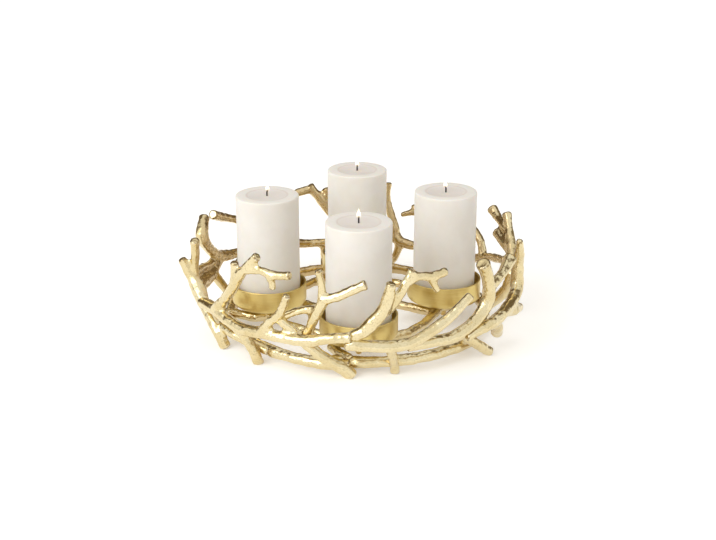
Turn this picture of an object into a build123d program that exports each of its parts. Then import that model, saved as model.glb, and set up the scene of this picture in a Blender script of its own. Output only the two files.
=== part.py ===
from build123d import *
import os
from math import cos, radians, sin, sqrt, tan

os.makedirs("parts", exist_ok=True)

# Advent candle holder: a wreath of forked cast branches that stands on its lowest tips,
# with four cups on arms inside it and a pillar candle standing loose in each cup.
# Lengths are in millimetres. Bearings are in degrees from +X, seen from above.

# Candles and wicks
candle_diameter = 80.0
candle_height = 143.0
candle_circle_radius = 114.0
candle_rim_round = 1.5
candle_foot_chamfer = 1.0
pool_diameter = 54.0
pool_depth = 3.0
wick_diameter = 2.4
wick_straight_rise = 4.0
wick_bend_radius = 7.0
wick_bend_angle = 45.0
wick_foot = 5.0
wick_clearance = 0.05

# Cups
cup_clearance = 5.8
cup_wall = 2.2
cup_height = 28.5
cup_corner_round = 6.0
cup_rim_round = 0.8
cup_seat_height = 29.0

# Countersunk screws that hold the cups, with a washer and a domed nut under each boss
screw_diameter = 4.0
screw_hole_clearance = 0.2
countersink_angle = 82.0
screw_socket_across_flats = 2.5
screw_socket_depth = 1.6
washer_diameter = 11.0
washer_thickness = 1.0
nut_across_flats = 8.0
nut_hex_height = 4.0
nut_bore_depth = 5.5
nut_bore_clearance = 0.05

# Arms under the cups
boss_diameter = 22.0
boss_foot_depth = 0.5
arm_drop = 9.0

# Base ring, made of staggered arcs
ring_radius = 166.0
ring_height = 14.0
ring_thickness = 15.5
ring_arcs = 6
ring_first_bearing = 263.0
ring_overlap = 8.0
ring_stagger = 12.0
ring_stations = 7
ring_waist = 0.9

# Middle of the candle circle, set so that the branch tips reach equally far each way from the origin
middle_x = 7.0
middle_y = 4.0

# Branches woven on a bowl that is foot_radius wide on the table and rim_radius at its top. A limb
# that climbs faster than steep_rise has its sections turned outwards, any other has them upright.
foot_radius = 172.0
rim_radius = 202.0
wreath_height = 150.0
branch_thickness = 15.0
limb_sides = 8
steep_rise = 0.6

# Every branch is one casting of several limbs. A limb is a row of stations: bearing, height in
# per cent of the wreath, proud of the bowl and thickness, both in twelfths of branch_thickness.
branches = {
    "branch_left_low": [
        [(195, 31, 11, 10), (202, 22, 8, 12), (207, 13, 8, 12), (208, 1, 9, 11)],
        [(188, 21, 2, 9), (203, 19, 2, 10), (216, 17, 0, 9), (226, 13, -6, 9), (231, 10, -9, 8)],
    ],
    "branch_front_left": [
        [(199, 35, 13, 10), (209, 37, 6, 13), (217, 34, 6, 12), (226, 32, 6, 12), (236, 35, 6, 12),
         (244, 35, 6, 11), (252, 35, 6, 12), (260, 39, 6, 11), (268, 41, 6, 10)],
        [(209, 37, 6, 13), (215, 49, 3, 10), (222, 65, 2, 11), (227, 79, 2, 10), (233, 94, 2, 8),
         (236, 100, 2, 8)],
        [(230, 86, 2, 10), (237, 89, 2, 8), (241, 87, 2, 9), (248, 89, 2, 7)],
        [(240, 87, 2, 9), (241, 81, 2, 6), (241, 75, 2, 6)],
        [(222, 65, 2, 9), (224, 79, 2, 7), (225, 89, 2, 8)],
        [(222, 33, 6, 12), (226, 22, 4, 10), (228, 12, 3, 11), (228, -2, 5, 11)],
        [(235, 35, 6, 12), (240, 48, 6, 9), (244, 57, 6, 9), (247, 73, 6, 6)],
        [(242, 51, 4, 8), (246, 43, 1, 8), (250, 36, -1, 8)],
    ],
    "branch_front_centre": [
        [(268, 1, -2, 12), (264, 9, -4, 13), (258, 17, -3, 12), (253, 25, -4, 11), (250, 31, -5, 11),
         (253, 43, -4, 10), (255, 54, -4, 10), (259, 71, -3, 11)],
        [(258, 69, -4, 10), (258, 81, -4, 7), (257, 94, -4, 7)],
        [(258, 70, -3, 11), (263, 73, -2, 9), (268, 79, -2, 9), (273, 84, -2, 9)],
        [(257, 63, -4, 7), (253, 59, -7, 8), (248, 56, -6, 8), (243, 50, -2, 7)],
    ],
    "branch_front_low": [
        [(266, 35, 6, 11), (272, 34, 6, 12), (281, 32, 6, 12), (288, 33, 6, 12), (294, 39, 6, 11),
         (302, 49, 6, 11), (311, 64, 6, 9)],
        [(281, 32, 6, 11), (283, 20, 0, 9), (285, 8, -7, 9), (286, -2, -4, 9)],
    ],
    "branch_front_right": [
        [(267, 39, 3, 9), (272, 45, 3, 13), (275, 53, 3, 14), (278, 61, 3, 13), (280, 73, 3, 12),
         (281, 86, 3, 9)],
        [(277, 59, 2, 12), (281, 63, -1, 10), (284, 71, -3, 9), (287, 83, -4, 9), (289, 93, -4, 8)],
        [(286, 81, -4, 9), (291, 87, -4, 8), (296, 85, -4, 9), (302, 87, -4, 7)],
        [(295, 85, -4, 7), (297, 79, -4, 7), (299, 72, -4, 6)],
    ],
    "branch_right": [
        [(288, 28, 1, 10), (298, 29, 2, 12), (306, 28, 2, 12), (313, 31, 2, 13), (319, 37, 2, 13),
         (323, 47, 2, 14), (324, 56, 2, 14), (322, 70, 1, 12), (318, 86, 0, 14)],
        [(323, 60, 2, 12), (329, 65, 2, 10), (334, 68, 2, 11), (341, 74, 2, 13)],
        [(311, 29, 2, 10), (319, 15, 5, 11), (327, 2, 15, 10)],
        [(313, 30, 2, 8), (317, 18, -5, 8), (320, 10, -9, 8)],
    ],
    "branch_right_outer": [
        [(312, 26, 5, 10), (324, 31, 11, 12), (333, 35, 12, 12), (342, 37, 12, 13), (348, 43, 12, 14),
         (349, 53, 10, 13), (349, 65, 8, 12), (345, 78, 8, 10), (342, 89, 8, 6)],
        [(331, 34, 12, 9), (340, 29, 16, 10), (348, 25, 19, 9)],
        [(326, 31, 11, 10), (331, 21, 10, 11), (335, 12, 8, 12)],
    ],
    "branch_right_back": [
        [(8, -2, -4, 10), (7, 9, -5, 11), (5, 17, 2, 12), (2, 29, 6, 12), (359, 45, 6, 12),
         (4, 55, 6, 12), (9, 66, 6, 11), (13, 75, 6, 9), (17, 86, 6, 10)],
        [(12, 73, 6, 9), (22, 77, 6, 9), (28, 83, 6, 12)],
        [(6, 58, 5, 8), (13, 63, 2, 10), (19, 67, 2, 12)],
    ],
    "branch_back_right": [
        [(4, 53, 0, 9), (21, 43, 0, 10), (31, 35, 0, 10), (45, 33, 0, 10), (58, 31, 0, 9),
         (71, 32, 0, 12), (74, 47, 0, 10), (77, 68, 0, 8), (77, 80, -1, 6), (77, 88, -1, 7)],
        [(71, 32, 0, 10), (73, 17, 0, 9), (77, 8, -7, 8), (78, -2, -4, 8)],
        [(71, 32, 0, 10), (76, 36, 0, 8), (82, 37, 0, 7)],
        [(26, 39, 0, 10), (29, 51, 0, 9), (33, 57, 0, 9), (38, 65, 0, 8)],
        [(43, 33, 0, 8), (40, 19, 0, 8), (38, 8, -7, 8), (38, -2, -4, 8)],
    ],
    "branch_back_right_high": [
        [(44, 33, 6, 9), (48, 44, 4, 9), (55, 56, 2, 10), (61, 61, 0, 10), (66, 62, 0, 9), (71, 58, 0, 4)],
        [(65, 62, 0, 8), (66, 69, 0, 5)],
        [(56, 57, 2, 7), (55, 72, 2, 7), (52, 84, 4, 6)],
    ],
    "branch_back": [
        [(87, -2, -4, 8), (88, 9, -6, 8), (89, 17, 0, 9), (92, 32, 0, 10), (97, 47, 0, 10),
         (102, 61, 0, 11), (107, 77, 0, 10), (110, 86, 0, 11)],
        [(109, 83, 0, 10), (115, 81, 0, 9), (121, 75, 0, 9), (127, 75, 0, 8)],
        [(101, 60, 0, 9), (102, 73, -1, 8), (103, 83, -1, 8)],
    ],
    "branch_back_left": [
        [(163, 85, 0, 10), (156, 78, 0, 10), (148, 71, 0, 9), (138, 59, 0, 9), (128, 45, 0, 9),
         (117, 33, 0, 10), (110, 31, 0, 10), (93, 32, -5, 9)],
        [(105, 31, -1, 9), (105, 16, 0, 8), (106, 8, -7, 8), (106, -2, -4, 8)],
    ],
    "branch_left": [
        [(169, 87, 3, 10), (174, 79, 3, 13), (175, 72, 3, 14), (171, 62, 3, 12), (165, 51, 3, 12),
         (158, 43, 3, 13), (146, 39, 1, 11), (126, 40, -4, 11)],
        [(159, 44, 4, 9), (168, 44, 4, 8), (178, 48, 7, 8), (189, 52, 14, 9)],
        [(160, 43, 4, 11), (170, 37, 4, 12), (180, 37, 5, 13), (192, 42, 11, 12)],
        [(189, 66, 22, 8), (189, 57, 18, 11), (190, 47, 13, 14), (193, 40, 11, 16), (197, 33, 10, 12)],
        [(190, 51, 11, 8), (190, 60, 10, 8), (191, 71, 8, 9), (193, 85, 6, 9)],
        [(171, 38, 2, 10), (169, 26, -2, 10), (168, 16, -8, 9), (167, 10, -12, 8)],
    ],
    "branch_back_left_low": [
        [(140, 38, 2, 8), (134, 20, 2, 9), (128, 10, -4, 9), (123, 1, 2, 9)],
    ],
    "branch_back_left_high": [
        [(149, 27, 6, 9), (142, 31, 7, 10), (133, 34, 8, 10), (125, 40, 8, 9), (120, 49, 7, 9),
         (119, 60, 5, 8), (121, 72, 4, 7)],
        [(132, 35, 8, 8), (129, 48, 7, 9), (131, 61, 5, 8), (135, 72, 4, 8), (136, 80, 3, 7)],
        [(131, 60, 5, 7), (128, 68, 4, 7), (127, 78, 4, 6)],
        [(143, 30, 7, 9), (146, 17, 6, 9), (148, 7, 6, 9), (148, -2, 6, 9)],
    ],
    "branch_back_low": [
        [(62, 20, 6, 9), (55, 23, 7, 10), (48, 30, 7, 10), (45, 43, 6, 9), (46, 55, 5, 8), (50, 66, 4, 7)],
        [(55, 23, 7, 8), (58, 11, 5, 9), (60, -2, 5, 9)],
        [(45, 42, 6, 7), (42, 52, 6, 7), (42, 62, 5, 6)],
    ],
}

# Limbs of an arm: turn from its cup, share of the way from the candle circle to the base ring, and
# thickness in twelfths of branch_thickness. Turns are in degrees to the ring, else in shares of the
# turn to the next cup.
arm_to_ring = [(0, 0.0, 10), (13, 0.15, 10), (14, 0.4, 10), (9, 0.7, 10), (4, 1.0, 9)]
arm_to_next_cup = [
    (0.0, 0.0, 10), (0.17, -0.06, 10), (0.36, -0.1, 10), (0.58, -0.22, 9), (0.82, -0.2, 10), (1.0, 0.0, 9)
]
arm_spur = [(0.81, -0.2, 10), (0.89, -0.75, 10), (1.03, -1.2, 9)]

# Bearing of each cup, and the way its arm to the base ring leans
cups = {"right": (6, 1), "back": (90, 1), "left": (182, 1), "front": (271, -1)}

sides = list(cups)
candle_radius = candle_diameter / 2
cup_radius = candle_radius + cup_clearance + cup_wall
cup_floor_height = cup_seat_height + cup_wall
arm_height = cup_seat_height - arm_drop
boss_height = arm_drop + branch_thickness / 2 + boss_foot_depth
boss_foot_height = cup_seat_height - boss_height
screw_radius = screw_diameter / 2
screw_hole_radius = screw_radius + screw_hole_clearance
screw_head_radius = screw_radius + cup_wall * tan(radians(countersink_angle / 2))
nut_top_height = boss_foot_height - washer_thickness
screw_length = cup_floor_height - nut_top_height + nut_bore_depth - screw_hole_clearance
nut_dome_radius = nut_across_flats / 2
pool_floor = candle_height - pool_depth
standing = (Align.CENTER, Align.CENTER, Align.MIN)
hanging = (Align.CENTER, Align.CENTER, Align.MAX)
twelfth = branch_thickness / 12


def heading(bearing):
    """Level direction of a bearing."""
    return Vector(cos(radians(bearing)), sin(radians(bearing)), 0)


def on_circle(bearing, radius, height):
    """Point at a bearing, a radius and a height."""
    return Vector(middle_x, middle_y, height) + heading(bearing) * radius


def on_bowl(bearing, level, proud):
    """Point at a bearing and a share of the wreath's height, proud of the bowl."""
    spread = sqrt(max(level, 0) / 100)
    radius = foot_radius + (rim_radius - foot_radius) * spread + proud * twelfth
    return on_circle(bearing, radius, wreath_height * level / 100)


def rounded(stations):
    """Stations with one more halfway between each two, on the smooth curve through them all."""
    last = len(stations) - 1
    curve = [stations[0]]
    for index in range(last):
        near = stations[index] + stations[index + 1]
        far = stations[max(index - 1, 0)] + stations[min(index + 2, last)]
        curve += [near * (9 / 16) - far * (1 / 16), stations[index + 1]]
    return curve


def limb(points, sizes):
    """Cast limb with flat-cut ends: many-sided sections square to the line through the points."""
    with BuildPart() as cast:
        for index, point in enumerate(points):
            before = points[max(index - 1, 0)]
            after = points[min(index + 1, len(points) - 1)]
            along = (after - before).normalized()
            upright = Vector(0, 0, 1)
            outward = Vector(point.X - middle_x, point.Y - middle_y, 0).normalized()
            guide = outward if abs(along.Z) > steep_rise else upright
            across = guide - along * guide.dot(along)
            with BuildSketch(Plane(origin=point, x_dir=across, z_dir=along)):
                RegularPolygon(sizes[index] / 2, limb_sides)
        loft(ruled=True)
    return cast.part


def boxes_meet(one, other):
    """True where the bounding boxes of two castings overlap."""
    a = one.bounding_box()
    b = other.bounding_box()
    apart_x = a.max.X < b.min.X or b.max.X < a.min.X
    apart_y = a.max.Y < b.min.Y or b.max.Y < a.min.Y
    apart_z = a.max.Z < b.min.Z or b.max.Z < a.min.Z
    return not (apart_x or apart_y or apart_z)


def keep(piece, name):
    """Name a finished piece and write it."""
    piece.label = name
    export_step(piece, f"parts/{name}.step")


# Base ring: each arc leans from inside the ring to outside it, so its end lies beside the next
welded = []
arc_span = 360 / ring_arcs + ring_overlap
for number in range(ring_arcs):
    start = ring_first_bearing + number * 360 / ring_arcs - ring_overlap / 2
    points = []
    sizes = []
    for station in range(ring_stations):
        share = station / (ring_stations - 1)
        radius = ring_radius + ring_stagger * (share - 0.5)
        points.append(on_circle(start + share * arc_span, radius, ring_height))
        sizes.append(ring_thickness * (1 if station % 2 else ring_waist))
    bar = limb(points, sizes)
    with BuildPart() as arc:
        add(bar)
        for earlier in welded:
            if boxes_meet(bar, earlier):
                add(earlier, mode=Mode.SUBTRACT)
    keep(arc.part, f"ring_arc_{number + 1}")
    welded.append(arc.part)

# Branches: limbs fused to one casting, ground flat on the table and coped to those it is welded to
for name, rows in branches.items():
    limbs = []
    for row in rows:
        points = [on_bowl(bearing, level, proud) for bearing, level, proud, size in row]
        sizes = [size * twelfth for bearing, level, proud, size in row]
        limbs.append(limb(rounded(points), rounded(sizes)))
    with BuildPart() as branch:
        add(limbs)
        split(bisect_by=Plane.XY, keep=Keep.TOP)
        for earlier in welded:
            if boxes_meet(branch.part, earlier):
                add(earlier, mode=Mode.SUBTRACT)
    keep(branch.part, name)
    welded.append(branch.part)

# Arms: a boss under each cup, one limb to the base ring, one to the next boss, and a short spur
for number, side in enumerate(sides):
    bearing, lean = cups[side]
    next_bearing, next_lean = cups[sides[(number + 1) % len(sides)]]
    gap = (next_bearing - bearing) % 360
    limbs = []
    for row, full_turn in [(arm_to_ring, lean), (arm_to_next_cup, gap), (arm_spur, gap)]:
        points = []
        for turn, share, size in row:
            radius = candle_circle_radius + share * (ring_radius - candle_circle_radius)
            points.append(on_circle(bearing + turn * full_turn, radius, arm_height))
        limbs.append(limb(points, [size * twelfth for turn, share, size in row]))
    with BuildPart() as arm:
        add(limbs)
        with Locations(on_circle(next_bearing, candle_circle_radius, cup_seat_height)):
            Cylinder(boss_diameter / 2, boss_height, align=hanging, mode=Mode.SUBTRACT)
        with Locations(on_circle(bearing, candle_circle_radius, cup_seat_height)):
            Cylinder(boss_diameter / 2, boss_height, align=hanging)
            Cylinder(screw_hole_radius, boss_height, align=hanging, mode=Mode.SUBTRACT)
        for earlier in welded:
            if boxes_meet(arm.part, earlier):
                add(earlier, mode=Mode.SUBTRACT)
    keep(arm.part, f"cup_arm_{side}")
    welded.append(arm.part)

# Cups: deep dishes with a rounded foot, a soft rim and a countersunk hole in the floor
for side, (bearing, lean) in cups.items():
    with BuildPart() as cup:
        with Locations(on_circle(bearing, candle_circle_radius, cup_seat_height)):
            Cylinder(cup_radius, cup_height, align=standing)
        fillet(cup.edges().group_by(Axis.Z)[0], cup_corner_round)
        offset(amount=-cup_wall, openings=cup.faces().sort_by(Axis.Z)[-1])
        fillet(cup.edges().group_by(Axis.Z)[-1], cup_rim_round)
        with Locations(on_circle(bearing, candle_circle_radius, cup_floor_height)):
            CounterSinkHole(screw_hole_radius, screw_head_radius, counter_sink_angle=countersink_angle)
    keep(cup.part, f"cup_{side}")

# Screws, washers and domed nuts: one of each under every cup
cup_floors = [on_circle(bearing, candle_circle_radius, cup_floor_height) for bearing, lean in cups.values()]
boss_feet = [on_circle(bearing, candle_circle_radius, boss_foot_height) for bearing, lean in cups.values()]
nut_tops = [on_circle(bearing, candle_circle_radius, nut_top_height) for bearing, lean in cups.values()]

with BuildPart() as cup_screws:
    with Locations(*cup_floors):
        Cone(screw_radius, screw_head_radius, cup_wall, align=hanging)
        Cylinder(screw_radius, screw_length, align=hanging)
    for floor in cup_floors:
        with BuildSketch(Plane(floor)):
            RegularPolygon(screw_socket_across_flats / 2, 6, major_radius=False)
    extrude(amount=-screw_socket_depth, mode=Mode.SUBTRACT)
keep(cup_screws.part, "cup_screws")

with BuildPart() as cup_washers:
    with Locations(*boss_feet):
        Cylinder(washer_diameter / 2, washer_thickness, align=hanging)
        Cylinder(screw_hole_radius, washer_thickness, align=hanging, mode=Mode.SUBTRACT)
keep(cup_washers.part, "cup_washers")

with BuildPart() as cup_nuts:
    for nut_top in nut_tops:
        with BuildSketch(Plane(nut_top)):
            RegularPolygon(nut_dome_radius, 6, major_radius=False)
    extrude(amount=-nut_hex_height)
    with Locations(*[nut_top - Vector(0, 0, nut_hex_height) for nut_top in nut_tops]):
        Sphere(nut_dome_radius, arc_size2=0, align=hanging)
    with Locations(*nut_tops):
        Cylinder(screw_radius + nut_bore_clearance, nut_bore_depth, align=hanging, mode=Mode.SUBTRACT)
keep(cup_nuts.part, "cup_nuts")

# Candles: turned wax with a rounded rim, a shallow melt pool and a bore for the wick
for side, (bearing, lean) in cups.items():
    foot = on_circle(bearing, candle_circle_radius, cup_floor_height)
    profile_plane = Plane(foot, x_dir=heading(bearing), z_dir=heading(bearing - 90))
    rim_inset = candle_radius - candle_rim_round
    rim_spring = candle_height - candle_rim_round
    with BuildPart() as candle:
        with BuildSketch(profile_plane):
            with BuildLine():
                Polyline(
                    (0, pool_floor),
                    (0, 0),
                    (candle_radius - candle_foot_chamfer, 0),
                    (candle_radius, candle_foot_chamfer),
                    (candle_radius, rim_spring),
                )
                CenterArc((rim_inset, rim_spring), candle_rim_round, 0, 90)
                Line((rim_inset, candle_height), (pool_diameter / 2, candle_height))
                TangentArc((0, pool_floor), (pool_diameter / 2, candle_height), tangent=(1, 0))
            make_face()
        revolve(axis=Axis(foot, (0, 0, 1)))
        with Locations(foot + Vector(0, 0, wick_foot)):
            Cylinder(wick_diameter / 2 + wick_clearance, candle_height, align=standing, mode=Mode.SUBTRACT)
    keep(candle.part, f"candle_{side}")

    with BuildPart() as wick:
        with BuildLine(profile_plane) as path:
            stem = Line((0, wick_foot), (0, pool_floor + wick_straight_rise))
            JernArc(stem @ 1, stem % 1, wick_bend_radius, wick_bend_angle)
        with BuildSketch(Plane(path.line @ 0, z_dir=path.line % 0)):
            Circle(wick_diameter / 2)
        sweep()
    keep(wick.part, f"wick_{side}")
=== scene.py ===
import math
import bmesh
import bpy
import numpy as np
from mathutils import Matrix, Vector
from mathutils.kdtree import KDTree


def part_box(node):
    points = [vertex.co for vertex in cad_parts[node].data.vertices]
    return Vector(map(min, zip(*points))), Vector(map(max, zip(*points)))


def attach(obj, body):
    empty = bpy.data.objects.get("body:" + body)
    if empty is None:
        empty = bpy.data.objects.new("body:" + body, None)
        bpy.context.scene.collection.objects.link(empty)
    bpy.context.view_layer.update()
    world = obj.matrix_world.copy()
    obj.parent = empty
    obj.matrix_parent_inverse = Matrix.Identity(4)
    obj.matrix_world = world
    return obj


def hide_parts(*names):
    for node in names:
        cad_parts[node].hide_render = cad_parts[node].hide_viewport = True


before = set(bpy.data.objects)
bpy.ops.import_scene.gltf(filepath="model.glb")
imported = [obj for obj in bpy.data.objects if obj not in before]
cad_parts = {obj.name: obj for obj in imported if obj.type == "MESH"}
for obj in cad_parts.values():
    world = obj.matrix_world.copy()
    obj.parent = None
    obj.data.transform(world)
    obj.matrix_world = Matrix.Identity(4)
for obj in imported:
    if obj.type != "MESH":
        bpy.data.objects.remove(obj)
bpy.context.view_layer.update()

MM = 0.001
SIDES = ("right", "back", "left", "front")

# The photograph's standpoint
camera_aim = Vector((8.15, 4.0, 71.04)) * MM
camera_distance = 1605.65 * MM
camera_elevation = math.radians(20.279)
camera_lens = 62.29

# Cast branches
skin_grain = 1.0 * MM
skin_swell = 0.3 * MM
web_reach = 2.8 * MM
limb_passes = 8
fork_passes = 10
tip_reach = 7 * MM
tip_flare = 0.6 * MM
end_round = 3 * MM
end_passes = 5
# Width of the painted dark line along the rims.
rim_line = 1.8 * MM
lump_size = 26 * MM
lump_depth = 0.9 * MM
dent_size = 8 * MM
dent_depth = 0.6 * MM
boss_clear = 13 * MM
boss_fade = 8 * MM
crumb_points = 100
merge_gap = 0.002 * MM
bulge_gain = 1.6
sharp_bulge = 0.72
hollow_bulge = 0.46
hollow_span = 0.10

# Spun cups
cup_wall = 2.2 * MM
cup_corner = 6 * MM
cup_rim_round = 0.8 * MM
cup_screw_hole = 4.2 * MM
cup_facets = 144
edge_slack = 0.3 * MM
face_slack = 0.05 * MM

# Candles, wicks and flames
pool_radius = 27 * MM
pool_steps = ((25.4, 0.25), (23.6, 0.5), (20.5, 0.9), (15.5, 1.25), (9.0, 1.5), (4.0, 1.6))
pool_depth = pool_steps[-1][1] * MM
pool_rim_round = 1.0 * MM
candle_rim_round = 1.5 * MM
candle_foot_round = 1 * MM
candle_facets = 160
candle_bands = 24
wax_swell_size = 30 * MM
wax_swell_depth = 0.5 * MM
wick_radius = 1.0 * MM
wick_root = 2 * MM
wick_rise = 4 * MM
wick_bend = 7 * MM
wick_lean = math.radians(45)
wick_tip = 0.4 * MM
wick_tip_width = 0.55
flame_width = 5.6 * MM
flame_height = 12.5 * MM
flame_rise = 2.8 * MM
flame_squeeze = 0.8
flame_taper = -1.25

# Studio, in metres and watts
floor_radius = 14.0
floor_glow = 0.3
card_radius = 1.8
card_height = 3.0
card_front = 0.4
sky_fill = 0.77
sky_white = 1.0
key_tilt, key_turn = math.radians(48), math.radians(-58)
key_strength = 0.4
key_spread = math.radians(45)
softbox_place = (-1.3, -1.5, 1.2)
softbox_aim = Vector((0, 0, 0.08))
softbox_width = 1.4
softbox_power = 15.0


# Hand tools

def pick_up(piece):
    """Makes a piece the only selected one."""
    bpy.ops.object.select_all(action="DESELECT")
    piece.select_set(True)
    bpy.context.view_layer.objects.active = piece


def choose(kind, test):
    """In edit mode, selects only the vertices, edges or faces that pass a test."""
    bpy.ops.mesh.select_mode(type=kind)
    bpy.ops.mesh.select_all(action="DESELECT")
    shape = bmesh.from_edit_mesh(bpy.context.object.data)
    for item in {"VERT": shape.verts, "EDGE": shape.edges, "FACE": shape.faces}[kind]:
        if test(item):
            item.select_set(True)
    shape.select_flush_mode()
    bmesh.update_edit_mesh(bpy.context.object.data)


def loop_at(radius, height):
    """A test for the edges of a level ring of one radius, round the piece's own centre."""
    def on_ring(edge):
        return all(
            abs(point.co.xy.length - radius) < edge_slack and abs(point.co.z - height) < edge_slack
            for point in edge.verts
        )
    return on_ring


def level_face(height, up=True):
    """A test for a level face at one height that looks up or down."""
    def is_level(face):
        facing = face.normal.z if up else -face.normal.z
        return facing > 0.9 and abs(face.calc_center_median().z - height) < face_slack
    return is_level


def modify(piece, kind, **settings):
    """Adds a modifier to a piece and applies it."""
    pick_up(piece)
    step = piece.modifiers.new(kind.lower(), kind)
    for name, value in settings.items():
        setattr(step, name, value)
    bpy.ops.object.modifier_apply(modifier=step.name)


def settle(piece, angle=40):
    """Puts a piece's place in its mesh and shades it smooth where it is round."""
    pick_up(piece)
    bpy.ops.object.transform_apply(location=True, rotation=True, scale=True)
    bpy.ops.object.shade_smooth_by_angle(angle=math.radians(angle))


def clouds(name, size, depth):
    """A lumpy texture for pushing a surface in and out."""
    texture = bpy.data.textures.new(name, "CLOUDS")
    texture.noise_scale = size
    texture.noise_depth = depth
    texture.noise_basis = "BLENDER_ORIGINAL"
    return texture


def middle_of(node):
    """A node's lowest corner, highest corner and the upright line through its middle."""
    low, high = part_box(node)
    low, high = Vector(low), Vector(high)
    return low, high, (low + high) / 2


def dress(piece, material):
    """Gives a piece one material."""
    piece.data.materials.clear()
    piece.data.materials.append(material)


cup_middles = [middle_of("cup_" + side)[2] for side in SIDES]
wreath_middle = sum(cup_middles, Vector((0, 0, 0))) / len(cup_middles)


# Effects that the finishes share

def new_group(name, inputs, outputs):
    """A shader group with its sockets, its entry and its exit."""
    group = bpy.data.node_groups.new(name, "ShaderNodeTree")
    for socket, kind in inputs:
        group.interface.new_socket(socket, in_out="INPUT", socket_type=kind)
    for socket, kind in outputs:
        group.interface.new_socket(socket, in_out="OUTPUT", socket_type=kind)
    return group, group.nodes.new("NodeGroupInput"), group.nodes.new("NodeGroupOutput")


def place(tree, kind, settings=None, **inputs):
    """A node with its settings, and with its sockets set or wired."""
    made = tree.nodes.new(kind)
    for name, value in (settings or {}).items():
        setattr(made, name, value)
    for name, value in inputs.items():
        socket = made.inputs[int(name[2:])] if name.startswith("in") else made.inputs[name]
        if isinstance(value, bpy.types.NodeSocket):
            tree.links.new(value, socket)
        else:
            socket.default_value = value
    return made


def blend_colour(tree, factor, first, second):
    """The colour between two colours."""
    made = tree.nodes.new("ShaderNodeMix")
    made.data_type = "RGBA"
    for index, value in ((0, factor), (6, first), (7, second)):
        if isinstance(value, bpy.types.NodeSocket):
            tree.links.new(value, made.inputs[index])
        else:
            made.inputs[index].default_value = value
    return made.outputs[2]


def sums(tree, way, *values):
    """One step of arithmetic."""
    made = tree.nodes.new("ShaderNodeMath")
    made.operation = way
    for socket, value in zip(made.inputs, values):
        if isinstance(value, bpy.types.NodeSocket):
            tree.links.new(value, socket)
        else:
            socket.default_value = value
    return made.outputs[0]


def ramp(tree, value, low, high, bottom=0.0, top=1.0):
    """A value stretched from one span to another, with soft ends."""
    made = tree.nodes.new("ShaderNodeMapRange")
    made.interpolation_type = "SMOOTHSTEP"
    tree.links.new(value, made.inputs[0])
    for index, number in ((1, low), (2, high), (3, bottom), (4, top)):
        made.inputs[index].default_value = number
    return made.outputs[0]


def emboss(tree, shader, height, strength, distance):
    """Gives a finish its fine relief."""
    bump = place(tree, "ShaderNodeBump", Height=height, Strength=strength, Distance=distance)
    tree.links.new(bump.outputs["Normal"], shader.inputs["Normal"])


def seen_rays(tree):
    """1 for what the camera sees, straight or by a mirror or glass, and 0 for plain light."""
    rays = tree.nodes.new("ShaderNodeLightPath").outputs
    mirrored = sums(tree, "MAXIMUM", rays["Is Glossy Ray"], rays["Is Transmission Ray"])
    return sums(tree, "MAXIMUM", rays["Is Camera Ray"], mirrored)


def cast_skin_group():
    """The hammered, pitted skin of a casting, with masks for painted shade in the creases, on the
    inner side and along the rims, and for a painted highlight on the ridges.
    """
    group, enter, leave = new_group(
        "cast_skin",
        [("Dent scale", "NodeSocketFloat"), ("Patch scale", "NodeSocketFloat")],
        [("Height", "NodeSocketFloat"), ("Patches", "NodeSocketFloat"),
         ("Creases", "NodeSocketFloat"), ("Ridges", "NodeSocketFloat"),
         ("Inner side", "NodeSocketFloat"), ("Rims", "NodeSocketFloat"),
         ("Specks", "NodeSocketFloat")],
    )
    where = group.nodes.new("ShaderNodeTexCoord").outputs["Object"]
    dents = place(group, "ShaderNodeTexVoronoi", {"feature": "SMOOTH_F1"}, Vector=where,
                  Scale=enter.outputs["Dent scale"], Smoothness=0.6)
    pits = place(group, "ShaderNodeTexNoise", Vector=where, Detail=4.0, Roughness=0.6,
                 Scale=sums(group, "MULTIPLY", enter.outputs["Dent scale"], 2.6))
    patches = place(group, "ShaderNodeTexNoise", Vector=where, Detail=5.0, Roughness=0.55,
                    Distortion=0.6, Scale=enter.outputs["Patch scale"])
    curve = place(group, "ShaderNodeAttribute", {"attribute_name": "curve"}).outputs["Fac"]
    height = sums(group, "ADD",
                  sums(group, "MULTIPLY", dents.outputs["Distance"], 0.7),
                  sums(group, "MULTIPLY", pits.outputs["Fac"], 0.45))
    group.links.new(height, leave.inputs["Height"])
    group.links.new(ramp(group, patches.outputs["Fac"], 0.38, 0.68), leave.inputs["Patches"])
    inner = place(group, "ShaderNodeAttribute", {"attribute_name": "inner"}).outputs["Fac"]
    uneven = sums(group, "SUBTRACT", patches.outputs["Fac"], 0.5)
    ragged = sums(group, "ADD", inner, sums(group, "MULTIPLY", uneven, 0.5))
    # Creases: hollows of the casting, masked for painted shade.
    group.links.new(ramp(group, curve, 0.47, 0.30), leave.inputs["Creases"])
    # Ridges: the sharpest bulges, masked for a painted highlight.
    group.links.new(ramp(group, curve, 0.60, 0.80), leave.inputs["Ridges"])
    # Inner side: faces that look in towards the candles, ragged by noise, masked for painted
    # shade.
    group.links.new(ramp(group, ragged, 0.42, 0.85), leave.inputs["Inner side"])
    # Rims: the sharp cut ends together with the pits, masked for painted dark edge lines that
    # stand in for dark reflections.
    rim = place(group, "ShaderNodeAttribute", {"attribute_name": "rim"}).outputs["Fac"]
    pitted = sums(group, "SUBTRACT", pits.outputs["Fac"], 0.5)
    pits_and_rim_shade = sums(group, "ADD", rim, sums(group, "MULTIPLY", pitted, 1.2))
    group.links.new(ramp(group, pits_and_rim_shade, 0.25, 0.8), leave.inputs["Rims"])
    specks = place(group, "ShaderNodeTexNoise", Vector=where, Detail=3.0, Roughness=0.7,
                   Scale=sums(group, "MULTIPLY", enter.outputs["Dent scale"], 4.5))
    group.links.new(ramp(group, specks.outputs["Fac"], 0.52, 0.66), leave.inputs["Specks"])
    return group


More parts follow.
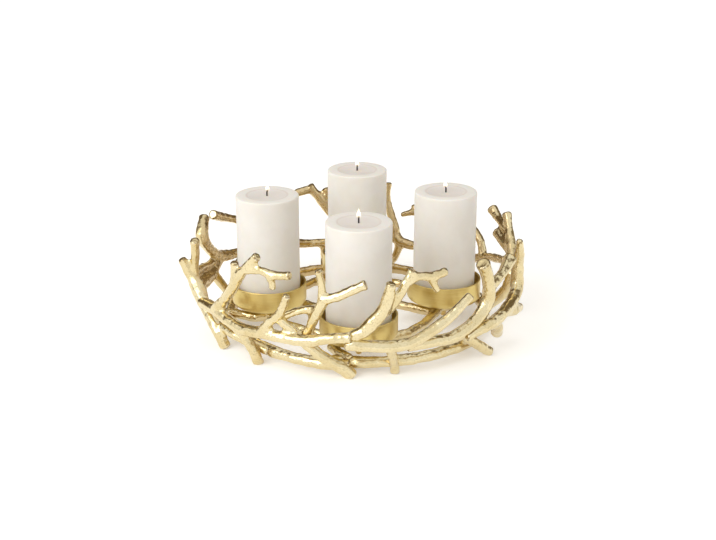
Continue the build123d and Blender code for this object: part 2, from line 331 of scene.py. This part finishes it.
def turned_group():
    """Fine marks left round a piece that was turned on a lathe, about its own upright axis."""
    group, enter, leave = new_group(
        "turned_marks",
        [("Centre", "NodeSocketVector"), ("Fineness", "NodeSocketFloat")],
        [("Marks", "NodeSocketFloat"), ("Clouds", "NodeSocketFloat"),
         ("Distance", "NodeSocketFloat"), ("Level", "NodeSocketFloat")],
    )
    where = group.nodes.new("ShaderNodeTexCoord").outputs["Object"]
    local = place(group, "ShaderNodeVectorMath", {"operation": "SUBTRACT"}, in0=where,
                  in1=enter.outputs["Centre"]).outputs["Vector"]
    flat = place(group, "ShaderNodeVectorMath", {"operation": "MULTIPLY"}, in0=local,
                 in1=(1.0, 1.0, 0.0)).outputs["Vector"]
    reach = place(group, "ShaderNodeVectorMath", {"operation": "LENGTH"},
                  in0=flat).outputs["Value"]
    heading = place(group, "ShaderNodeVectorMath", {"operation": "NORMALIZE"},
                    in0=flat).outputs["Vector"]
    level = place(group, "ShaderNodeSeparateXYZ", Vector=local).outputs["Z"]
    turn = place(group, "ShaderNodeSeparateXYZ", Vector=heading)
    along = sums(group, "MULTIPLY", sums(group, "ADD", reach, level), enter.outputs["Fineness"])
    lathe = place(group, "ShaderNodeCombineXYZ", X=turn.outputs["X"], Y=turn.outputs["Y"], Z=along)
    marks = place(group, "ShaderNodeTexNoise", Vector=lathe.outputs["Vector"], Scale=1.6,
                  Detail=4.0, Roughness=0.65)
    mist = place(group, "ShaderNodeTexNoise", Vector=where, Scale=38.0, Detail=4.0, Roughness=0.55)
    group.links.new(marks.outputs["Fac"], leave.inputs["Marks"])
    group.links.new(mist.outputs["Fac"], leave.inputs["Clouds"])
    group.links.new(reach, leave.inputs["Distance"])
    group.links.new(level, leave.inputs["Level"])
    return group


cast_skin = cast_skin_group()
turned_marks = turned_group()


def new_finish(name):
    """A bare material, its shader and its node tree."""
    material = bpy.data.materials.new(name)
    material.use_nodes = True
    return material, material.node_tree.nodes["Principled BSDF"], material.node_tree


def effect(tree, group, **inputs):
    """A shared effect placed in a finish, with its own values."""
    made = tree.nodes.new("ShaderNodeGroup")
    made.node_tree = group
    for name, value in inputs.items():
        made.inputs[name.replace("_", " ")].default_value = value
    return made.outputs


def plated_gold():
    """Pale gold plate over hammered castings, with painted shade inside and in the creases,
    painted dark edge lines on the rims beside darker pits, and a painted highlight on the ridges.
    """
    material, shader, tree = new_finish("plated_gold")
    skin = effect(tree, cast_skin, Dent_scale=150.0, Patch_scale=22.0)
    pale_plate, warm_plate = (0.80, 0.695, 0.44, 1), (0.71, 0.585, 0.32, 1)
    # The paler ridge colour is a painted highlight.
    ridge_highlight_plate = (0.88, 0.80, 0.60, 1)
    # The inner colour is painted shade on the faces that look inwards; the speck colour is a
    # random dark tone.
    speck_brown, inner_painted_shade = (0.46, 0.33, 0.13, 1), (0.66, 0.51, 0.28, 1)
    # Browns for painted shade in the creases and for painted dark edge lines along the rims.
    crease_painted_shade, rim_painted_shade = (0.34, 0.22, 0.085, 1), (0.30, 0.20, 0.08, 1)
    speck_share, rim_shade_share = 0.5, 0.9
    plate = blend_colour(tree, skin["Patches"], pale_plate, warm_plate)
    # Painted highlight: the plate is paler on the ridges.
    plate = blend_colour(tree, skin["Ridges"], plate, ridge_highlight_plate)
    specks = sums(tree, "MULTIPLY", skin["Specks"], speck_share)
    plate = blend_colour(tree, specks, plate, speck_brown)
    # Painted shade: the faces that look in towards the candles are browned.
    plate = blend_colour(tree, skin["Inner side"], plate, inner_painted_shade)
    # Painted shade: the plate is darkened in the creases.
    plate = blend_colour(tree, skin["Creases"], plate, crease_painted_shade)
    rims = sums(tree, "MULTIPLY", skin["Rims"], rim_shade_share)
    # Painted reflection: dark lines along the rims, together with real darkening in the pits.
    plate = blend_colour(tree, rims, plate, rim_painted_shade)
    tree.links.new(plate, shader.inputs["Base Color"])
    shader.inputs["Metallic"].default_value = 1.0
    tree.links.new(ramp(tree, skin["Patches"], 0.0, 1.0, 0.15, 0.27), shader.inputs["Roughness"])
    emboss(tree, shader, skin["Height"], 0.6, 0.8 * MM)
    return material


def brushed_gold(name, centre):
    """Deeper gold with faint lathe marks round the cup."""
    material, shader, tree = new_finish(name)
    lathe = effect(tree, turned_marks, Centre=centre, Fineness=2600.0)
    streaks = ramp(tree, lathe["Marks"], 0.3, 0.7)
    plate = blend_colour(tree, streaks, (0.68, 0.52, 0.18, 1), (0.80, 0.65, 0.28, 1))
    plate = blend_colour(tree, ramp(tree, lathe["Clouds"], 0.45, 0.75, 0.0, 0.25), plate,
                         (0.60, 0.44, 0.14, 1))
    tree.links.new(plate, shader.inputs["Base Color"])
    shader.inputs["Metallic"].default_value = 1.0
    tree.links.new(ramp(tree, lathe["Marks"], 0.3, 0.7, 0.30, 0.42), shader.inputs["Roughness"])
    emboss(tree, shader, lathe["Marks"], 0.12, 0.3 * MM)
    return material


def fastener_brass():
    """Plain bright brass for the screws, washers and nuts."""
    material, shader, tree = new_finish("fastener_brass")
    skin = effect(tree, cast_skin, Dent_scale=900.0, Patch_scale=120.0)
    plate = blend_colour(tree, skin["Patches"], (0.78, 0.58, 0.24, 1), (0.62, 0.43, 0.15, 1))
    tree.links.new(plate, shader.inputs["Base Color"])
    shader.inputs["Metallic"].default_value = 1.0
    tree.links.new(ramp(tree, skin["Patches"], 0.0, 1.0, 0.30, 0.42), shader.inputs["Roughness"])
    emboss(tree, shader, skin["Height"], 0.05, 0.2 * MM)
    return material


def ivory_wax(name, centre):
    """Ivory wax, with a painted warm bounce from the gold cup at the foot, a painted shade line
    round the pool's edge, and wet in the melted pool round the wick.
    """
    material, shader, tree = new_finish(name)
    lathe = effect(tree, turned_marks, Centre=centre, Fineness=90.0)
    bloom = ramp(tree, lathe["Clouds"], 0.35, 0.7)
    pale_wax, cloudy_wax = (0.895, 0.87, 0.83, 1), (0.865, 0.835, 0.785, 1)
    # The warmer foot colour is painted light: warm bounce from the gold cup.
    foot_painted_bounce = (0.87, 0.80, 0.67, 1)
    # The ring colour is painted shade for the pool's edge.
    pool_wax, pool_ring_shade = (0.855, 0.81, 0.775, 1), (0.76, 0.68, 0.63, 1)
    foot_bounce_share, pool_ring_shade_share = 0.6, 0.6
    wax = blend_colour(tree, bloom, pale_wax, cloudy_wax)
    # Painted bounce light from the cup, fading up from the foot.
    near_foot = ramp(tree, lathe["Level"], -0.085, -0.135)
    wax = blend_colour(tree, sums(tree, "MULTIPLY", near_foot, foot_bounce_share), wax, foot_painted_bounce)
    on_top = ramp(tree, lathe["Level"], -0.006, -0.004)
    in_pool = sums(tree, "MULTIPLY", ramp(tree, lathe["Distance"], 0.0275, 0.0225), on_top)
    wax = blend_colour(tree, in_pool, wax, pool_wax)
    # Painted shade: a thin darker ring at the edge of the melted pool.
    edge = sums(tree, "MULTIPLY", ramp(tree, lathe["Distance"], 0.0235, 0.0255),
                ramp(tree, lathe["Distance"], 0.0280, 0.0262))
    ring = sums(tree, "MULTIPLY", sums(tree, "MULTIPLY", edge, on_top), pool_ring_shade_share)
    wax = blend_colour(tree, ring, wax, pool_ring_shade)
    tree.links.new(wax, shader.inputs["Base Color"])
    gloss = sums(tree, "SUBTRACT", ramp(tree, lathe["Clouds"], 0.3, 0.7, 0.46, 0.58),
                 sums(tree, "MULTIPLY", in_pool, 0.14))
    tree.links.new(gloss, shader.inputs["Roughness"])
    shader.inputs["Subsurface Weight"].default_value = 0.35
    shader.inputs["Subsurface Radius"].default_value = (1.0, 0.75, 0.5)
    shader.inputs["Subsurface Scale"].default_value = 0.006
    emboss(tree, shader, lathe["Clouds"], 0.08, 0.8 * MM)
    return material


def wick_cotton():
    """Braided cotton, waxy inside the candle and charred black above the pool."""
    material, shader, tree = new_finish("wick_cotton")
    where = tree.nodes.new("ShaderNodeTexCoord").outputs["Object"]
    braid = place(tree, "ShaderNodeTexWave", {"bands_direction": "DIAGONAL"}, Vector=where,
                  Scale=420.0, Distortion=1.5, Detail=2.0)
    level = place(tree, "ShaderNodeSeparateXYZ", Vector=where).outputs["Z"]
    top = middle_of("candle_right")[1].z
    char = ramp(tree, level, top - 3 * MM, top - 1.5 * MM)
    dark_cotton, pale_cotton = (0.20, 0.15, 0.11, 1), (0.34, 0.27, 0.20, 1)
    soot, ash = (0.016, 0.012, 0.010, 1), (0.05, 0.036, 0.028, 1)
    cotton = blend_colour(tree, braid.outputs["Fac"], dark_cotton, pale_cotton)
    burnt = blend_colour(tree, braid.outputs["Fac"], soot, ash)
    tree.links.new(blend_colour(tree, char, cotton, burnt), shader.inputs["Base Color"])
    tree.links.new(ramp(tree, char, 0.0, 1.0, 0.6, 0.9), shader.inputs["Roughness"])
    emboss(tree, shader, braid.outputs["Fac"], 0.5, 0.3 * MM)
    return material


def candle_flame():
    """Small pale flame, nearly clear at its foot and warm at its tip."""
    material, shader, tree = new_finish("candle_flame")
    where = tree.nodes.new("ShaderNodeTexCoord").outputs["Object"]
    level = place(tree, "ShaderNodeSeparateXYZ", Vector=where).outputs["Z"]
    foot = middle_of("candle_right")[1].z + flame_rise
    up = ramp(tree, level, foot, foot + flame_height)
    foot_glow, heart_glow = (0.9, 0.62, 0.34, 1), (1.0, 0.93, 0.78, 1)
    tip_glow = (1.0, 0.84, 0.58, 1)
    glow = blend_colour(tree, ramp(tree, up, 0.0, 0.35), foot_glow, heart_glow)
    glow = blend_colour(tree, ramp(tree, up, 0.6, 1.0), glow, tip_glow)
    tree.links.new(glow, shader.inputs["Base Color"])
    tree.links.new(glow, shader.inputs["Emission Color"])
    shader.inputs["Emission Strength"].default_value = 1.1
    tree.links.new(ramp(tree, up, 0.0, 0.6, 0.0, 0.94), shader.inputs["Alpha"])
    shader.inputs["Roughness"].default_value = 1.0
    shader.inputs["Specular IOR Level"].default_value = 0.0
    return material


def pale_floor():
    """White studio sweep that keeps the soft shadow under the wreath."""
    material, shader, tree = new_finish("pale_floor")
    where = tree.nodes.new("ShaderNodeTexCoord").outputs["Object"]
    paper = place(tree, "ShaderNodeTexNoise", Vector=where, Scale=3.0, Detail=3.0)
    tone = blend_colour(tree, paper.outputs["Fac"], (0.90, 0.90, 0.90, 1), (0.93, 0.93, 0.93, 1))
    tree.links.new(tone, shader.inputs["Base Color"])
    shader.inputs["Roughness"].default_value = 0.9
    shader.inputs["Specular IOR Level"].default_value = 0.0
    shader.inputs["Emission Color"].default_value = (1.0, 1.0, 1.0, 1)
    glow = sums(tree, "MULTIPLY", seen_rays(tree), floor_glow)
    tree.links.new(glow, shader.inputs["Emission Strength"])
    return material


def dark_card():
    """Dark card behind the table, seen only as the dark edges in the metal."""
    material, shader, tree = new_finish("dark_card")
    where = tree.nodes.new("ShaderNodeTexCoord").outputs["Object"]
    card = place(tree, "ShaderNodeTexNoise", Vector=where, Scale=1.5, Detail=2.0)
    tone = blend_colour(tree, card.outputs["Fac"], (0.15, 0.11, 0.06, 1), (0.20, 0.15, 0.09, 1))
    tree.links.new(tone, shader.inputs["Base Color"])
    shader.inputs["Roughness"].default_value = 0.9
    return material


# The castings: ring arcs, branches and cup arms

lumps = clouds("casting_lumps", lump_size, 2)
dents = clouds("casting_dents", dent_size, 1)


def neighbours(piece):
    """A casting's points and normals, and its edges taken from both ends."""
    mesh = piece.data
    points = np.empty(len(mesh.vertices) * 3)
    mesh.vertices.foreach_get("co", points)
    normals = np.empty(len(mesh.vertices) * 3)
    mesh.vertices.foreach_get("normal", normals)
    edges = np.empty(len(mesh.edges) * 2, dtype=np.int64)
    mesh.edges.foreach_get("vertices", edges)
    first, second = edges.reshape(-1, 2).T
    ends, others = np.concatenate([first, second]), np.concatenate([second, first])
    return points.reshape(-1, 3), normals.reshape(-1, 3), ends, others


def spread(values, ends, others, passes):
    """Values averaged with those of the neighbours, several times over."""
    around = np.maximum(np.bincount(ends, minlength=len(values)), 1)
    for _ in range(passes):
        total = np.bincount(ends, weights=values[others], minlength=len(values))
        values = (values + total / around) / 2
    return values


def bulge(piece, passes):
    """How far each point stands out from its neighbours: 0.5 is flat, less is hollow."""
    points, normals, ends, others = neighbours(piece)
    step = points[others] - points[ends]
    length = np.maximum(np.linalg.norm(step, axis=1), 1e-9)
    lift = -(step * normals[ends]).sum(axis=1) / length
    around = np.maximum(np.bincount(ends, minlength=len(points)), 1)
    curve = np.bincount(ends, weights=lift, minlength=len(points)) / around
    return np.clip(0.5 + bulge_gain * spread(curve, ends, others, passes), 0.0, 1.0)


def inwardness(piece):
    """How far each point looks in towards the candles: 0 is outwards, 1 is inwards."""
    points, normals, ends, others = neighbours(piece)
    out = points[:, :2] - np.array(wreath_middle.xy)
    out = out / np.maximum(np.linalg.norm(out, axis=1, keepdims=True), 1e-9)
    return spread(0.5 - 0.5 * (normals[:, :2] * out).sum(axis=1), ends, others, 2)


def sharp_rims(piece):
    """Every sharp point of a casting, round its flat-cut ends, ready to be measured from."""
    points = neighbours(piece)[0][bulge(piece, 2) > sharp_bulge]
    rims = KDTree(len(points))
    for index, point in enumerate(points):
        rims.insert(point, index)
    rims.balance()
    return rims


def near(piece, rims, reach):
    """1 on the rims of a casting, falling to 0 at some reach from them."""
    gaps = [rims.find(point)[2] for point in neighbours(piece)[0]]
    away = np.array([reach if gap is None else gap for gap in gaps])
    return np.clip(1 - away / reach, 0.0, 1.0)


def off_bosses(piece):
    """1 on the limbs of a casting, 0 on the bosses that the cups stand on."""
    points = neighbours(piece)[0]
    axes = np.array([middle.xy for middle in cup_middles])
    off_axis = np.linalg.norm(points[:, None, :2] - axes[None], axis=2).min(axis=1)
    return np.clip((off_axis - boss_clear) / boss_fade, 0.0, 1.0)


def mark(piece, name, values):
    """Keeps one value at each point of a casting, for its finish."""
    layer = piece.data.attributes.new(name, "FLOAT", "POINT")
    layer.data.foreach_set("value", values.astype(np.float32))


def weigh(piece, name, values):
    """Keeps one weight at each point of a casting, for its modifiers."""
    group = piece.vertex_groups.new(name=name)
    for index, value in enumerate(values):
        group.add([index], float(value), "REPLACE")


def web_forks(piece):
    """Webs the forks of a casting: it is swollen until the crotches fill, and drawn in again."""
    for reach in (web_reach, -web_reach):
        weigh(piece, "limbs", off_bosses(piece))
        modify(piece, "DISPLACE", strength=reach, mid_level=0.0, vertex_group="limbs")
        piece.vertex_groups.clear()
        modify(piece, "REMESH", mode="VOXEL", voxel_size=skin_grain)
        modify(piece, "SMOOTH", factor=0.5, iterations=2)


def drop_crumbs(piece):
    """Deletes the loose crumbs that remeshing leaves beside a casting."""
    points, _, ends, others = neighbours(piece)
    body, before = np.arange(len(points)), None
    while before is None or (body != before).any():
        before = body.copy()
        np.minimum.at(body, ends, before[others])
        body = body[body]
    crumb = np.bincount(body, minlength=len(points))[body] < crumb_points
    pick_up(piece)
    bpy.ops.object.mode_set(mode="EDIT")
    choose("VERT", lambda point: crumb[point.index])
    bpy.ops.mesh.delete(type="VERT")
    bpy.ops.object.mode_set(mode="OBJECT")


def casting(node, material):
    """A node's casting with webbed forks, softened ends and a lumpy hammered skin."""
    piece = bpy.data.objects.new(node + "_casting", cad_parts[node].data.copy())
    bpy.context.scene.collection.objects.link(piece)
    pick_up(piece)
    bpy.ops.object.mode_set(mode="EDIT")
    bpy.ops.mesh.select_all(action="SELECT")
    bpy.ops.mesh.remove_doubles(threshold=merge_gap)
    bpy.ops.object.mode_set(mode="OBJECT")
    modify(piece, "REMESH", mode="VOXEL", voxel_size=skin_grain)
    rims = sharp_rims(piece)
    modify(piece, "SMOOTH", factor=0.5, iterations=2)
    web_forks(piece)
    drop_crumbs(piece)
    weigh(piece, "limbs", 1 - near(piece, rims, tip_reach))
    modify(piece, "SMOOTH", factor=0.5, iterations=limb_passes, vertex_group="limbs")
    weigh(piece, "ends", near(piece, rims, end_round))
    modify(piece, "SMOOTH", factor=0.5, iterations=end_passes, vertex_group="ends")
    weigh(piece, "forks", np.clip((hollow_bulge - bulge(piece, 6)) / hollow_span, 0.0, 1.0))
    modify(piece, "SMOOTH", factor=0.5, iterations=fork_passes, vertex_group="forks")
    weigh(piece, "rough", off_bosses(piece))
    weigh(piece, "tips", near(piece, rims, tip_reach) * off_bosses(piece))
    modify(piece, "DISPLACE", strength=skin_swell, mid_level=0.0, vertex_group="rough")
    modify(piece, "DISPLACE", strength=tip_flare, mid_level=0.0, vertex_group="tips")
    modify(piece, "DISPLACE", texture=lumps, texture_coords="LOCAL", strength=2 * lump_depth,
           mid_level=0.5, vertex_group="rough")
    modify(piece, "DISPLACE", texture=dents, texture_coords="LOCAL", strength=2 * dent_depth,
           mid_level=0.5, vertex_group="rough")
    for point in piece.data.vertices:
        point.co.z = max(point.co.z, 0.0)
    # These marks mask painted light in the finish: shade in the creases, on the inner side and
    # along the rims, and a highlight on the ridges.
    mark(piece, "curve", bulge(piece, 3))
    mark(piece, "inner", inwardness(piece))
    mark(piece, "rim", near(piece, rims, rim_line))
    piece.vertex_groups.clear()
    settle(piece, 180)
    dress(piece, material)
    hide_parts(node)
    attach(piece, "holder")


# The cups, candles, wicks and flames of one side

def spun_cup(side):
    """A cup turned from sheet, with a rounded foot, a soft rim and its screw hole."""
    low, high, middle = middle_of("cup_" + side)
    radius = (high.x - low.x) / 2
    tall = high.z - low.z
    top, foot = tall / 2, -tall / 2
    inside = radius - cup_wall
    bpy.ops.object.select_all(action="DESELECT")
    bpy.ops.mesh.primitive_cylinder_add(vertices=cup_facets, radius=radius, depth=tall,
                                        location=middle)
    piece = bpy.context.object
    piece.name = "cup_" + side + "_spun"
    bpy.ops.object.mode_set(mode="EDIT")
    choose("FACE", level_face(top))
    bpy.ops.mesh.inset(thickness=cup_wall)
    bpy.ops.mesh.extrude_region_move(TRANSFORM_OT_translate={"value": (0, 0, cup_wall - tall)})
    bpy.ops.mesh.inset(thickness=inside - cup_screw_hole)
    bpy.ops.mesh.delete(type="FACE")
    choose("FACE", level_face(foot, up=False))
    bpy.ops.mesh.inset(thickness=radius - cup_screw_hole)
    bpy.ops.mesh.delete(type="FACE")
    choose("EDGE", lambda edge: edge.is_boundary)
    bpy.ops.mesh.bridge_edge_loops()
    choose("EDGE", loop_at(radius, foot))
    bpy.ops.mesh.bevel(offset=cup_corner, segments=8, affect="EDGES")
    choose("EDGE", loop_at(inside, foot + cup_wall))
    bpy.ops.mesh.bevel(offset=cup_corner - cup_wall, segments=6, affect="EDGES")
    for wall in (radius, inside):
        choose("EDGE", loop_at(wall, top))
        bpy.ops.mesh.bevel(offset=cup_rim_round, segments=3, affect="EDGES")
    bpy.ops.mesh.select_all(action="SELECT")
    bpy.ops.mesh.normals_make_consistent(inside=False)
    bpy.ops.object.mode_set(mode="OBJECT")
    settle(piece)
    dress(piece, brushed_gold("brushed_gold_" + side, (middle.x, middle.y, low.z)))
    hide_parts("cup_" + side)
    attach(piece, "holder")


def pillar_candle(side):
    """A pillar candle with a soft shoulder and a melted pool round its wick."""
    low, high, middle = middle_of("candle_" + side)
    radius = (high.x - low.x) / 2
    tall = high.z - low.z
    top, foot = tall / 2, -tall / 2
    bpy.ops.object.select_all(action="DESELECT")
    bpy.ops.mesh.primitive_cylinder_add(vertices=candle_facets, radius=radius, depth=tall,
                                        location=middle)
    piece = bpy.context.object
    piece.name = "candle_" + side + "_wax"
    bpy.ops.object.mode_set(mode="EDIT")
    choose("EDGE", lambda edge: abs(edge.verts[0].co.z - edge.verts[1].co.z) > tall / 2)
    bpy.ops.mesh.subdivide(number_cuts=candle_bands)
    choose("FACE", level_face(top))
    bpy.ops.mesh.inset(thickness=radius - pool_radius)
    reach, drop = pool_radius, 0.0
    for step_radius, step_drop in pool_steps:
        bpy.ops.mesh.inset(thickness=reach - step_radius * MM)
        bpy.ops.transform.translate(value=(0, 0, drop - step_drop * MM))
        reach, drop = step_radius * MM, step_drop * MM
    choose("EDGE", loop_at(radius, top))
    bpy.ops.mesh.bevel(offset=candle_rim_round, segments=4, affect="EDGES")
    choose("EDGE", loop_at(pool_radius, top))
    bpy.ops.mesh.bevel(offset=pool_rim_round, segments=4, affect="EDGES")
    choose("EDGE", loop_at(radius, foot))
    bpy.ops.mesh.bevel(offset=candle_foot_round, segments=3, affect="EDGES")
    bpy.ops.object.mode_set(mode="OBJECT")
    settle(piece, 50)
    modify(piece, "DISPLACE", texture=wax_swell, texture_coords="LOCAL",
           strength=wax_swell_depth, mid_level=0.5)
    for point in piece.data.vertices:
        point.co.z = max(point.co.z, low.z)
    dress(piece, ivory_wax("ivory_wax_" + side, (middle.x, middle.y, high.z)))
    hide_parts("candle_" + side)
    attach(piece, side + "_candle")


def bent_wick(side, material):
    """A burnt wick that rises from the pool and curls over."""
    middle = middle_of("wick_" + side)[2]
    candle = middle_of("candle_" + side)
    lean = Vector((middle.x - candle[2].x, middle.y - candle[2].y, 0)).normalized()
    root = Vector((candle[2].x, candle[2].y, candle[1].z - pool_depth - wick_root))
    bend_start = root + Vector((0, 0, wick_rise + wick_root))
    bpy.ops.object.select_all(action="DESELECT")
    bpy.ops.mesh.primitive_circle_add(vertices=12, radius=wick_radius, location=root)
    piece = bpy.context.object
    piece.name = "wick_" + side + "_cotton"
    bpy.ops.object.mode_set(mode="EDIT")
    bpy.ops.mesh.select_all(action="SELECT")
    for _ in range(4):
        bpy.ops.mesh.extrude_region_move(
            TRANSFORM_OT_translate={"value": (0, 0, (wick_rise + wick_root) / 4)})
    bpy.ops.mesh.spin(steps=8, angle=wick_lean, center=bend_start + lean * wick_bend,
                      axis=lean.cross(Vector((0, 0, 1))))
    bpy.ops.mesh.extrude_region_move(
        TRANSFORM_OT_translate={"value": (lean + Vector((0, 0, 1))) * wick_tip})
    bpy.ops.transform.resize(value=(wick_tip_width, wick_tip_width, wick_tip_width))
    bpy.ops.mesh.edge_face_add()
    choose("EDGE", lambda edge: edge.is_boundary)
    bpy.ops.mesh.edge_face_add()
    bpy.ops.mesh.select_all(action="SELECT")
    bpy.ops.mesh.remove_doubles(threshold=merge_gap)
    bpy.ops.mesh.normals_make_consistent(inside=False)
    bpy.ops.object.mode_set(mode="OBJECT")
    settle(piece, 60)
    dress(piece, material)
    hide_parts("wick_" + side)
    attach(piece, side + "_candle")


def flame(side, material):
    """A small teardrop flame standing on the wick."""
    candle = middle_of("candle_" + side)
    wick = middle_of("wick_" + side)
    seat = Vector((wick[2].x, wick[2].y, candle[1].z + flame_rise + flame_height / 2))
    bpy.ops.object.select_all(action="DESELECT")
    bpy.ops.mesh.primitive_uv_sphere_add(segments=24, ring_count=18, radius=flame_width / 2,
                                         location=seat)
    piece = bpy.context.object
    piece.name = "flame_" + side
    bpy.ops.object.mode_set(mode="EDIT")
    bpy.ops.mesh.select_all(action="SELECT")
    bpy.ops.transform.resize(value=(flame_squeeze, flame_squeeze, flame_height / flame_width))
    bpy.ops.object.mode_set(mode="OBJECT")
    modify(piece, "SIMPLE_DEFORM", deform_method="TAPER", deform_axis="Z", factor=flame_taper)
    settle(piece, 180)
    dress(piece, material)
    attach(piece, side + "_candle")


# The whole object

gold = plated_gold()
for node in sorted(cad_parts):
    if node.startswith(("ring_arc_", "branch_", "cup_arm_")):
        casting(node, gold)

wax_swell = clouds("wax_swell", wax_swell_size, 1)
cotton = wick_cotton()
glow = candle_flame()
for side in SIDES:
    spun_cup(side)
    pillar_candle(side)
    bent_wick(side, cotton)
    flame(side, glow)

brass = fastener_brass()
for node in ("cup_screws", "cup_washers", "cup_nuts"):
    dress(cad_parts[node], brass)

# Floor, light and camera

bpy.ops.object.select_all(action="DESELECT")
bpy.ops.mesh.primitive_circle_add(vertices=96, radius=floor_radius, fill_type="NGON",
                                  location=(0, 0, 0))
floor = bpy.context.object
floor.name = "floor"
dress(floor, pale_floor())

bpy.ops.object.select_all(action="DESELECT")
bpy.ops.mesh.primitive_cylinder_add(vertices=96, radius=card_radius, depth=card_height,
                                    end_fill_type="NOTHING", location=(0, 0, card_height / 2))
flags = bpy.context.object
flags.name = "studio_flags"
bpy.ops.object.mode_set(mode="EDIT")
choose("FACE", lambda face: face.calc_center_median().y < card_front)
bpy.ops.mesh.delete(type="FACE")
bpy.ops.object.mode_set(mode="OBJECT")
settle(flags)
dress(flags, dark_card())
flags.visible_camera = False
flags.visible_diffuse = False
flags.visible_transmission = False
flags.visible_shadow = False

world = bpy.data.worlds.new("studio")
bpy.context.scene.world = world
world.use_nodes = True
sky = world.node_tree
sky.nodes.clear()
soft = place(sky, "ShaderNodeBackground", Color=(1.0, 0.965, 0.905, 1), Strength=sky_fill)
white = place(sky, "ShaderNodeBackground", Color=(1.0, 1.0, 1.0, 1), Strength=sky_white)
both = place(sky, "ShaderNodeMixShader", in0=seen_rays(sky), in1=soft.outputs[0],
             in2=white.outputs[0])
place(sky, "ShaderNodeOutputWorld", Surface=both.outputs[0])

bpy.ops.object.light_add(type="SUN", rotation=(key_tilt, 0, key_turn))
key = bpy.context.object
key.name = "key_light"
key.data.energy = key_strength
key.data.angle = key_spread

bpy.ops.object.light_add(type="AREA", location=softbox_place)
softbox = bpy.context.object
softbox.name = "left_softbox"
softbox.data.size = softbox_width
softbox.data.energy = softbox_power
softbox.data.color = (0.95, 0.975, 1.0)
softbox_line = softbox_aim - softbox.location
softbox.rotation_euler = softbox_line.to_track_quat("-Z", "Y").to_euler()

back = Vector((0, -math.cos(camera_elevation), math.sin(camera_elevation)))
bpy.ops.object.camera_add(location=camera_aim + back * camera_distance,
                          rotation=(math.pi / 2 - camera_elevation, 0, 0))
camera = bpy.context.object
camera.name = "photo_camera"
camera.data.sensor_width = 36
camera.data.lens = camera_lens
camera.data.clip_start = 0.05
camera.data.clip_end = 60
bpy.context.scene.camera = camera
bpy.context.scene.view_settings.view_transform = "Standard"
